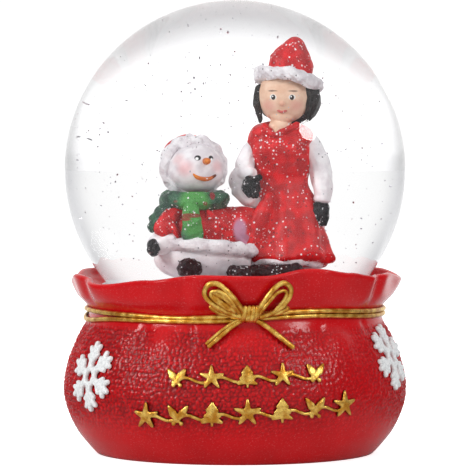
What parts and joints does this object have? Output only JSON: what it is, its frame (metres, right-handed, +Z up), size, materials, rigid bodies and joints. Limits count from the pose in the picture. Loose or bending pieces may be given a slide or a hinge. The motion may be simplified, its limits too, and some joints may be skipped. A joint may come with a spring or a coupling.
{
  "type": "snow globe",
  "caption": "Water snow globe on a hollow resin base shaped like a tied sack, with a snowman and a girl inside and a battery light unit behind a screwed door underneath.",
  "frame": {"origin": "middle of the foot's resting plane, under the globe's axis", "axes": "+Z up along the globe's axis, -Y towards the front that carries the bow, +X to the right as seen from the front"},
  "size_m": [0.0806, 0.0828, 0.106],
  "materials": {
    "red_resin": "cast resin with a satin red enamel, pebbled below the cord",
    "gold_paint": "gold metallic paint with dark recesses",
    "white_relief": "satin white enamel",
    "clear_glass": "clear blown glass",
    "clear_liquid": "clear water and glycol with floating glitter",
    "stopper_rubber": "moulded pale rubber",
    "clear_silicone": "clear silicone bead",
    "snow": "matte white with glitter",
    "white_figure": "satin white enamel",
    "white_fur": "matte white, stippled",
    "red_figure": "satin red enamel dusted with glitter",
    "green_figure": "satin green enamel",
    "black_figure": "satin black enamel",
    "hair": "satin black enamel",
    "skin": "matte skin-tone enamel",
    "orange_figure": "satin orange enamel",
    "white_plastic": "fine-grained moulded plastic",
    "screw_steel": "zinc-plated steel",
    "cell_steel": "bright nickel-plated can",
    "circuit_board": "green solder mask",
    "lamp_epoxy": "clear epoxy lens",
    "black_plastic": "moulded black plastic",
    "red_wire": "soft red insulation",
    "black_wire": "soft black insulation"
  },
  "bodies": {
    "globe_base": {"sack_base": "red_resin", "cord_turn_upper": "gold_paint", "cord_turn_lower": "gold_paint", "bow_knot": "gold_paint", "bow_loop_left": "gold_paint", "bow_loop_right": "gold_paint", "bow_tail_left": "gold_paint", "bow_tail_right": "gold_paint", "garland_upper": "gold_paint", "garland_lower": "gold_paint", "snowflake_left": "white_relief", "snowflake_right": "white_relief", "snowflake_back": "white_relief", "glass_globe": "clear_glass", "liquid_fill": "clear_liquid", "rubber_stopper": "stopper_rubber", "silicone_bead": "clear_silicone", "snow_mound": "snow", "snowman_body": "white_figure", "snowman_head": "white_figure", "girl_sleeve_left": "white_figure", "girl_sleeve_right": "white_figure", "snowman_cuff": "white_fur", "snowman_hood_fur": "white_fur", "coat_fur_trim": "white_fur", "girl_hat_fur": "white_fur", "girl_hem_fur": "white_fur", "snowman_coat": "red_figure", "snowman_sleeve": "red_figure", "snowman_cap": "red_figure", "girl_hat": "red_figure", "girl_dress": "red_figure", "scarf_wrap": "green_figure", "scarf_tail": "green_figure", "snowman_mitten": "black_figure", "snowman_boot_left": "black_figure", "snowman_boot_right": "black_figure", "girl_glove_left": "black_figure", "girl_glove_right": "black_figure", "girl_boots": "black_figure", "girl_hair": "hair", "girl_head": "skin", "snowman_nose": "orange_figure", "bottom_plate": "white_plastic", "battery_case": "white_plastic", "plate_screw_1": "screw_steel", "plate_screw_2": "screw_steel", "plate_screw_3": "screw_steel", "contact_spring": "screw_steel", "battery_cell_1": "cell_steel", "battery_cell_2": "cell_steel", "battery_cell_3": "cell_steel", "light_board": "circuit_board", "led_lamp": "lamp_epoxy", "switch_body": "black_plastic", "lead_red": "red_wire", "lead_black": "black_wire"},
    "switch_knob": {"switch_knob": "black_plastic"},
    "battery_door": {"battery_door": "white_plastic"},
    "door_screw": {"door_screw": "screw_steel"}
  },
  "joints": [
    {"name": "switch_slide", "type": "slide", "parent": "globe_base", "child": "switch_knob", "axis": [1, 0, 0], "range_m": [0, 0.0024]},
    {"name": "door_lift", "type": "slide", "parent": "globe_base", "child": "battery_door", "axis": [0, 0, -1], "range_m": [0, 0.008]},
    {"name": "door_screw_turn", "type": "hinge", "parent": "battery_door", "child": "door_screw", "pos_m": [0.012, 0, 0.0024], "axis": [0, 0, 1], "continuous": true}
  ]
}
